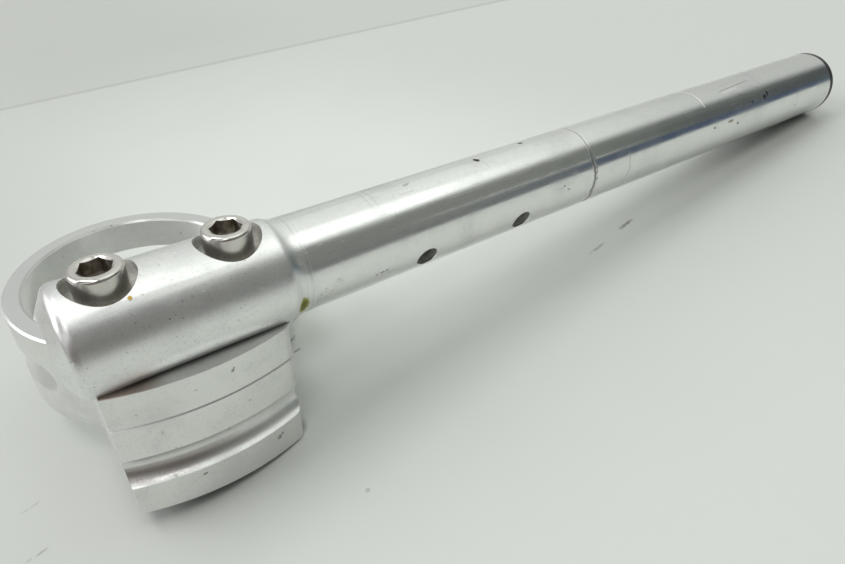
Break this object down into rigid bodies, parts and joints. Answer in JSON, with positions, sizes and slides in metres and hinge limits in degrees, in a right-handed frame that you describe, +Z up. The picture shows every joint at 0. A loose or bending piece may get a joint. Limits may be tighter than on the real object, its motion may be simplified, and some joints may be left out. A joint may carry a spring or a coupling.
{
  "type": "clip-on handlebar",
  "caption": "Clip-on motorcycle handlebar: a hollow turned bar with a thick bolted head, screwed through a riser block onto a split fork clamp with a window round its back.",
  "frame": {"origin": "on the fork axis, at the middle of the clamp's height", "axes": "+Z up the fork axis, +X outboard along the bar, +Y to the rear, away from the bar"},
  "size_m": [0.2755, 0.0892, 0.0565],
  "materials": {
    "bar_metal": "turned and polished, worn and scratched",
    "block_metal": "machined, satin",
    "screw_steel": "stainless, bright",
    "plug_plastic": "black"
  },
  "bodies": {
    "root": {"handlebar": "bar_metal", "riser_block": "block_metal", "fork_clamp": "block_metal", "end_plug": "plug_plastic", "bar_screw_inboard": "screw_steel", "bar_screw_outboard": "screw_steel", "pinch_screw_lower": "screw_steel", "pinch_screw_upper": "screw_steel"}
  },
  "joints": []
}
